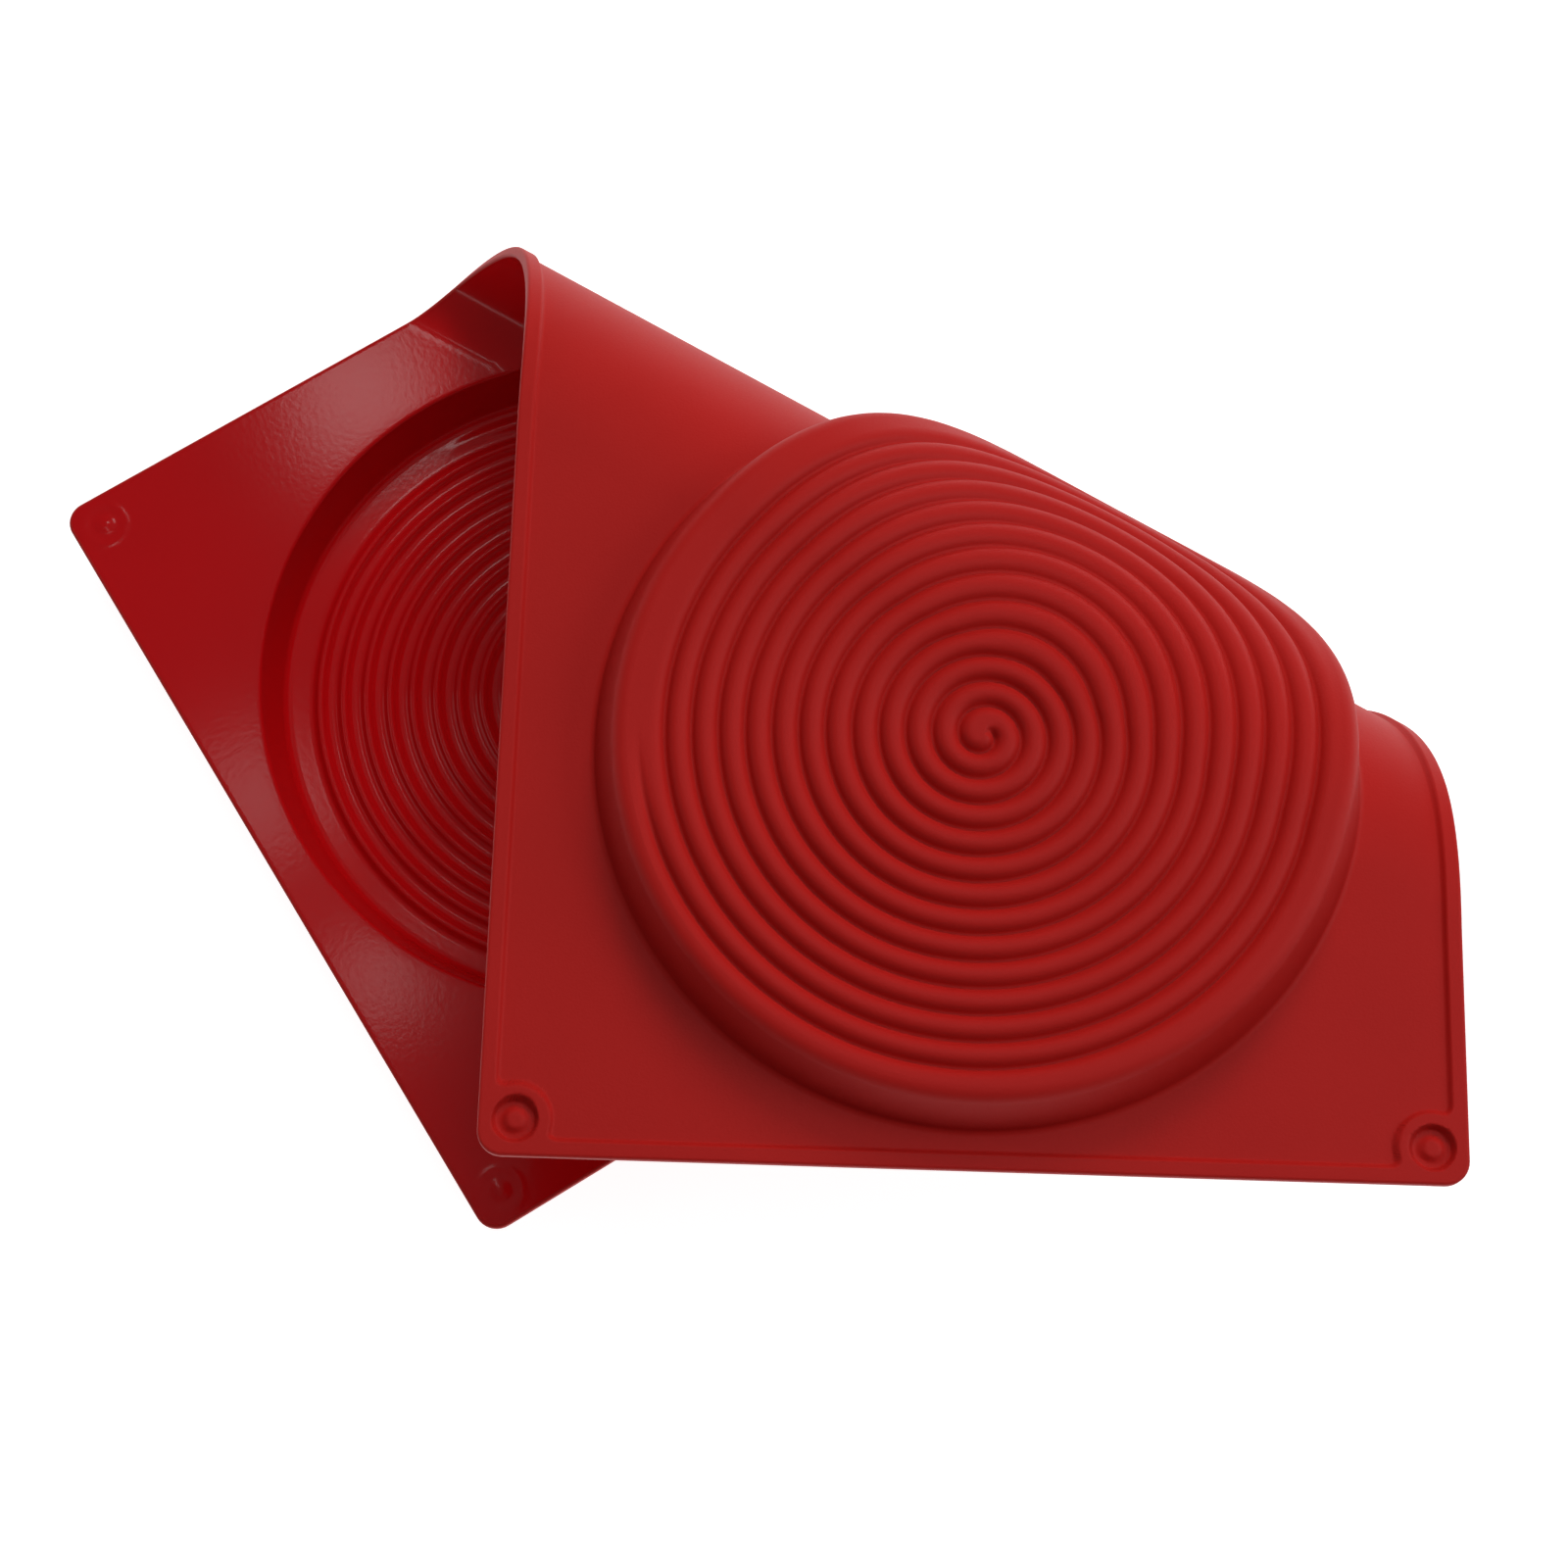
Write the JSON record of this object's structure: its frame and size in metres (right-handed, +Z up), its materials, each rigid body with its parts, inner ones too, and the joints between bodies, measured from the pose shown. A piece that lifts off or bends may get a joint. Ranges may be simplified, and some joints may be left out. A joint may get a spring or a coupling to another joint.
{
  "type": "silicone baking mould",
  "caption": "Flexible silicone baking mould with shallow round cups and a spiral-ribbed floor, shown folded over along a slanting bend.",
  "frame": {"origin": "centre of the footprint of the folded mould, on the surface it lies on", "axes": "+Z up, +X across the width of the lower half, +Y along its length towards its short edge"},
  "size_m": [0.2674, 0.2006, 0.0859],
  "materials": {
    "silicone": "satin"
  },
  "bodies": {
    "lower_half": {"lower_web": "silicone", "lower_end_band": "silicone", "lower_left_band": "silicone", "lower_right_band": "silicone", "lower_left_pad": "silicone", "lower_right_pad": "silicone", "lower_cup_wall": "silicone", "lower_cup_floor": "silicone"},
    "bend_strip_01": {"fold_strip_01": "silicone"},
    "bend_strip_02": {"fold_strip_02": "silicone"},
    "bend_strip_03": {"fold_strip_03": "silicone"},
    "bend_strip_04": {"fold_strip_04": "silicone"},
    "bend_strip_05": {"fold_strip_05": "silicone"},
    "bend_strip_06": {"fold_strip_06": "silicone"},
    "bend_strip_07": {"fold_strip_07": "silicone"},
    "bend_strip_08": {"fold_strip_08": "silicone"},
    "bend_strip_09": {"fold_strip_09": "silicone"},
    "upper_half": {"upper_web": "silicone", "upper_end_band": "silicone", "upper_left_band": "silicone", "upper_right_band": "silicone", "upper_left_pad": "silicone", "upper_right_pad": "silicone", "upper_cup_wall": "silicone", "upper_cup_floor": "silicone"}
  },
  "joints": [
    {"name": "bend_01", "type": "hinge", "parent": "lower_half", "child": "bend_strip_01", "pos_m": [0.03238, -0.03855, 0.0127], "axis": [0.8805, 0.4741, 0], "range_deg": [0, 17.88]},
    {"name": "bend_02", "type": "hinge", "parent": "bend_strip_01", "child": "bend_strip_02", "pos_m": [0.0338, -0.04118, 0.01366], "axis": [0.8805, 0.4741, 0], "range_deg": [0, 17.88]},
    {"name": "bend_03", "type": "hinge", "parent": "bend_strip_02", "child": "bend_strip_03", "pos_m": [0.03533, -0.04402, 0.01599], "axis": [0.8805, 0.4741, 0], "range_deg": [0, 17.88]},
    {"name": "bend_04", "type": "hinge", "parent": "bend_strip_03", "child": "bend_strip_04", "pos_m": [0.03686, -0.04686, 0.02037], "axis": [0.8805, 0.4741, 0], "range_deg": [0, 17.88]},
    {"name": "bend_05", "type": "hinge", "parent": "bend_strip_04", "child": "bend_strip_05", "pos_m": [0.03815, -0.04927, 0.02855], "axis": [0.8805, 0.4741, 0], "range_deg": [0, 17.88]},
    {"name": "bend_06", "type": "hinge", "parent": "bend_strip_05", "child": "bend_strip_06", "pos_m": [0.03821, -0.04937, 0.04002], "axis": [0.8805, 0.4741, 0], "range_deg": [0, 17.88]},
    {"name": "bend_07", "type": "hinge", "parent": "bend_strip_06", "child": "bend_strip_07", "pos_m": [0.03653, -0.04626, 0.05138], "axis": [0.8805, 0.4741, 0], "range_deg": [0, 17.88]},
    {"name": "bend_08", "type": "hinge", "parent": "bend_strip_07", "child": "bend_strip_08", "pos_m": [0.03339, -0.04042, 0.0608], "axis": [0.8805, 0.4741, 0], "range_deg": [0, 17.88]},
    {"name": "bend_09", "type": "hinge", "parent": "bend_strip_08", "child": "bend_strip_09", "pos_m": [0.02928, -0.03278, 0.06733], "axis": [0.8805, 0.4741, 0], "range_deg": [0, 17.88]},
    {"name": "bend_10", "type": "hinge", "parent": "bend_strip_09", "child": "upper_half", "pos_m": [0.02377, -0.02255, 0.07135], "axis": [0.8805, 0.4741, 0], "range_deg": [0, 17.88]}
  ]
}
